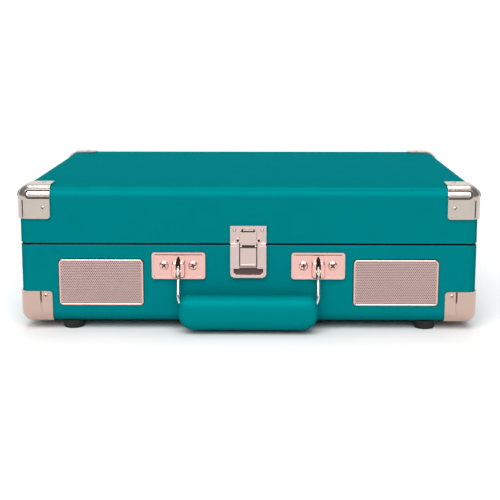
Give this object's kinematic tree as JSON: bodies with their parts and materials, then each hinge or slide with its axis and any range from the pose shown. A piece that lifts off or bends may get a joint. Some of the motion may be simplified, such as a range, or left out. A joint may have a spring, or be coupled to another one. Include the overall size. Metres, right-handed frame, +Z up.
{
  "type": "suitcase record player",
  "caption": "Portable turntable in a small latched carrying case with metal corners, speaker grilles and a folding front handle.",
  "frame": {"origin": "on the table, under the middle of the whole closed object, handle and hinges included", "axes": "+X to the right along the case's long side, +Y to the back where the hinges are, +Z up; the latch, handle and grilles face -Y"},
  "size_m": [0.3604, 0.293, 0.1157],
  "materials": {
    "leatherette": "satin",
    "rose_nickel": "gloss",
    "foot_rubber": "matte",
    "zinc_steel": "satin",
    "platter_metal": "satin",
    "pulley_brass": "satin",
    "mat_felt": "matte",
    "deck_plastic": "matte",
    "black_plastic": "satin",
    "cartridge_red": "gloss",
    "circuit_board": "satin",
    "cone_paper": "matte",
    "lead_insulation": "satin"
  },
  "bodies": {
    "base": {"base_case": "leatherette", "base_corner_front_left": "rose_nickel", "base_corner_front_right": "rose_nickel", "base_corner_back_left": "rose_nickel", "base_corner_back_right": "rose_nickel", "foot_front_left": "foot_rubber", "foot_front_right": "foot_rubber", "foot_back_left": "foot_rubber", "foot_back_right": "foot_rubber", "hinge_base_leaf_left": "zinc_steel", "hinge_base_leaf_right": "zinc_steel", "grille_left": "rose_nickel", "grille_right": "rose_nickel", "speaker_left": "zinc_steel", "speaker_right": "zinc_steel", "handle_bracket_left": "rose_nickel", "handle_bracket_right": "rose_nickel", "latch_base_plate": "rose_nickel", "deck_plate": "deck_plastic", "spindle": "zinc_steel", "motor": "zinc_steel", "drive_belt": "foot_rubber", "tonearm_base": "black_plastic", "arm_rest": "black_plastic", "rear_panel": "black_plastic", "amplifier_board": "circuit_board", "motor_lead": "lead_insulation", "speaker_lead_left": "lead_insulation", "speaker_lead_right": "lead_insulation", "tonearm_lead": "lead_insulation", "rear_lead": "lead_insulation"},
    "lid": {"lid_case": "leatherette", "lid_corner_front_left": "rose_nickel", "lid_corner_front_right": "rose_nickel", "lid_corner_back_left": "rose_nickel", "lid_corner_back_right": "rose_nickel", "hinge_lid_leaf_left": "zinc_steel", "hinge_lid_leaf_right": "zinc_steel", "latch_catch_plate": "rose_nickel"},
    "stay_lower": {"stay_lower_link": "zinc_steel"},
    "stay_upper": {"stay_upper_link": "zinc_steel"},
    "latch_lever": {"latch_lever": "rose_nickel"},
    "latch_hasp": {"latch_hasp": "rose_nickel"},
    "handle": {"handle_wire": "rose_nickel", "handle_grip": "leatherette"},
    "platter": {"platter": "platter_metal", "slip_mat": "mat_felt"},
    "motor_pulley": {"motor_pulley": "pulley_brass"},
    "tonearm_gimbal": {"tonearm_gimbal": "black_plastic"},
    "tonearm": {"tonearm": "black_plastic", "cartridge": "cartridge_red"},
    "cue_lever": {"cue_lever": "black_plastic"},
    "cue_platform": {"cue_platform": "black_plastic"},
    "arm_rest_clip": {"arm_rest_clip": "black_plastic"},
    "volume_knob": {"volume_knob": "black_plastic"},
    "speed_selector": {"speed_selector": "black_plastic"},
    "auto_stop_switch": {"auto_stop_switch": "black_plastic"},
    "adapter_45": {"adapter_45": "black_plastic"},
    "speaker_cone_left": {"speaker_cone_left": "cone_paper"},
    "speaker_cone_right": {"speaker_cone_right": "cone_paper"}
  },
  "joints": [
    {"name": "lid_hinge", "type": "hinge", "parent": "base", "child": "lid", "pos_m": [0, 0.1439, 0.069], "axis": [-1, 0, 0], "range_deg": [0, 100]},
    {"name": "stay_lower_pivot", "type": "hinge", "parent": "base", "child": "stay_lower", "pos_m": [-0.166, 0.0939, 0.065], "axis": [-1, 0, 0], "range_deg": [0, 100]},
    {"name": "stay_upper_pivot", "type": "hinge", "parent": "lid", "child": "stay_upper", "pos_m": [-0.168, 0.0939, 0.073], "axis": [-1, 0, 0], "range_deg": [-100, 0]},
    {"name": "latch_lever_pivot", "type": "hinge", "parent": "base", "child": "latch_lever", "pos_m": [0, -0.1299, 0.072], "axis": [1, 0, 0], "range_deg": [-80, 0]},
    {"name": "latch_hasp_pivot", "type": "hinge", "parent": "latch_lever", "child": "latch_hasp", "pos_m": [0, -0.1304, 0.0697], "axis": [1, 0, 0], "range_deg": [0, 92]},
    {"name": "handle_swing", "type": "hinge", "parent": "base", "child": "handle", "pos_m": [0, -0.1317, 0.0483], "axis": [-1, 0, 0], "range_deg": [0, 140]},
    {"name": "platter_spin", "type": "hinge", "parent": "base", "child": "platter", "pos_m": [-0.048, 0.0055, 0.06], "axis": [0, 0, -1], "continuous": true},
    {"name": "motor_pulley_spin", "type": "hinge", "parent": "base", "child": "motor_pulley", "pos_m": [-0.11942, -0.02049, 0.06], "axis": [0, 0, -1], "continuous": true},
    {"name": "tonearm_swing", "type": "hinge", "parent": "base", "child": "tonearm_gimbal", "pos_m": [0.107, 0.0885, 0.07], "axis": [0, 0, -1], "range_deg": [0, 45]},
    {"name": "tonearm_lift", "type": "hinge", "parent": "tonearm_gimbal", "child": "tonearm", "pos_m": [0.107, 0.0885, 0.078], "axis": [-1, 0, 0], "range_deg": [0, 3]},
    {"name": "cue_lever_turn", "type": "hinge", "parent": "base", "child": "cue_lever", "pos_m": [0.128, 0.0635, 0.066], "axis": [-1, 0, 0], "range_deg": [0, 40]},
    {"name": "cue_platform_lift", "type": "slide", "parent": "base", "child": "cue_platform", "axis": [0, 0, 1], "range_m": [0, 0.0016]},
    {"name": "arm_rest_clip_turn", "type": "hinge", "parent": "base", "child": "arm_rest_clip", "pos_m": [0.1165, -0.0215, 0.08], "axis": [0, -1, 0], "range_deg": [0, 115]},
    {"name": "volume_knob_turn", "type": "hinge", "parent": "base", "child": "volume_knob", "pos_m": [0.14, -0.0805, 0.06], "axis": [0, 0, -1], "range_deg": [0, 270]},
    {"name": "speed_selector_slide", "type": "slide", "parent": "base", "child": "speed_selector", "axis": [1, 0, 0], "range_m": [0, 0.012]},
    {"name": "auto_stop_slide", "type": "slide", "parent": "base", "child": "auto_stop_switch", "axis": [1, 0, 0], "range_m": [0, 0.006]},
    {"name": "adapter_lift_out", "type": "slide", "parent": "base", "child": "adapter_45", "axis": [0, 0, 1], "range_m": [0, 0.02]},
    {"name": "speaker_cone_left_travel", "type": "slide", "parent": "base", "child": "speaker_cone_left", "axis": [0, 1, 0], "range_m": [-0.0008, 0.0008], "stiffness_N_per_m": 300},
    {"name": "speaker_cone_right_travel", "type": "slide", "parent": "base", "child": "speaker_cone_right", "axis": [0, 1, 0], "range_m": [-0.0008, 0.0008], "stiffness_N_per_m": 300}
  ],
  "couplings": [
    {"joint": "stay_lower_pivot", "follows": "lid_hinge", "ratio": 1},
    {"joint": "stay_upper_pivot", "follows": "lid_hinge", "ratio": -1},
    {"joint": "latch_hasp_pivot", "follows": "latch_lever_pivot", "ratio": -1.15},
    {"joint": "motor_pulley_spin", "follows": "platter_spin", "ratio": 20},
    {"joint": "tonearm_lift", "follows": "cue_lever_turn", "ratio": 0.075},
    {"joint": "cue_platform_lift", "follows": "cue_lever_turn", "m_per_rad": 0.00225}
  ]
}
